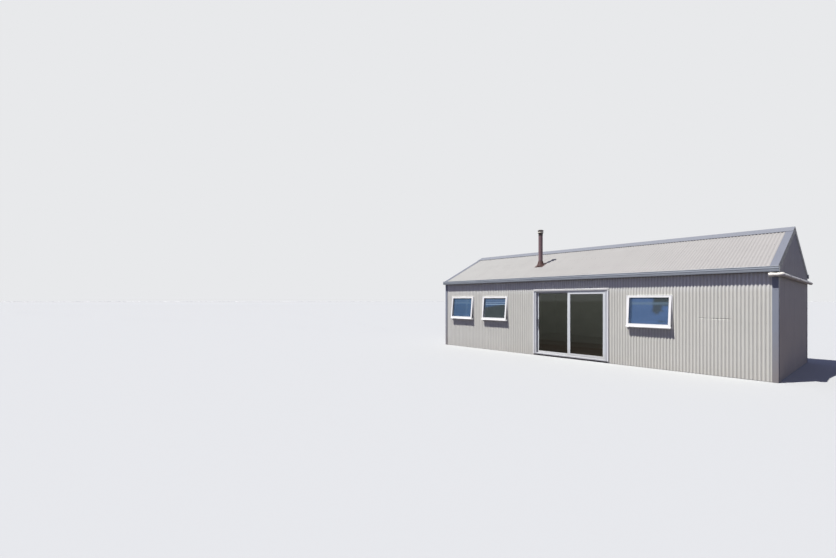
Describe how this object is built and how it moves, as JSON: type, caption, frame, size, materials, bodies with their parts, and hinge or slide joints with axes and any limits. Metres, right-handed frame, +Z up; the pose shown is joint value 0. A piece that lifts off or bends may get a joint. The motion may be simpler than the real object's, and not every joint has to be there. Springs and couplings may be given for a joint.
{
  "type": "corrugated steel cabin",
  "caption": "Long cabin clad in corrugated steel, with a pitched gable roof, folded ridge and barge caps, gutters, awning windows, a glazed sliding door and a roof flue.",
  "frame": {"origin": "middle of the base, on the ground", "axes": "+X to the right seen from the front, -Y out of the front wall with the door, +Z up"},
  "size_m": [10.853, 4.97, 4.461],
  "materials": {
    "slab": "trowelled concrete",
    "lining": "matt painted board",
    "wall_steel": "satin off-white paint",
    "roof_steel": "satin off-white paint",
    "trim_steel": "satin blue-grey paint",
    "gutter_steel": "satin blue-grey paint",
    "window_white": "white powder coat",
    "glass": "clear float glass",
    "door_white": "light powder coat",
    "door_trim": "satin paint",
    "pull": "black moulded",
    "flue": "matt dark brown heat paint",
    "cowl": "weathered dark metal",
    "pipe": "white plastic pipe"
  },
  "bodies": {
    "cabin": {"floor_slab": "slab", "front_wall_left": "lining", "front_wall_over_door": "lining", "front_wall_right": "lining", "rear_wall": "lining", "left_gable_wall": "lining", "right_gable_wall": "lining", "roof_panel_front": "lining", "roof_panel_rear": "lining", "front_sheets_left": "wall_steel", "front_sheets_over_door": "wall_steel", "front_sheets_right": "wall_steel", "rear_sheets": "wall_steel", "left_gable_sheets": "wall_steel", "right_gable_sheets": "wall_steel", "corner_flashings": "trim_steel", "roof_sheets_front": "roof_steel", "roof_sheets_rear": "roof_steel", "ridge_cap": "trim_steel", "left_barge_cap": "trim_steel", "right_barge_cap": "trim_steel", "front_gutter": "gutter_steel", "rear_gutter": "gutter_steel", "window_frame_a": "window_white", "window_frame_b": "window_white", "window_frame_c": "window_white", "window_sash_a": "window_white", "window_sash_b": "window_white", "window_sash_c": "window_white", "window_glass_a": "glass", "window_glass_b": "glass", "window_glass_c": "glass", "door_frame": "door_white", "door_head_flashing": "door_trim", "fixed_panel": "door_white", "fixed_glass": "glass", "flue_pipe": "flue", "flue_cowl": "cowl", "flue_flashing": "flue", "rainwater_pipe": "pipe", "pipe_clips": "pipe"},
    "sliding_door": {"sliding_panel": "door_white", "sliding_glass": "glass", "door_pull": "pull"}
  },
  "joints": [
    {"name": "door_slide", "type": "slide", "parent": "cabin", "child": "sliding_door", "axis": [1, 0, 0], "range_m": [0, 1.05]}
  ]
}
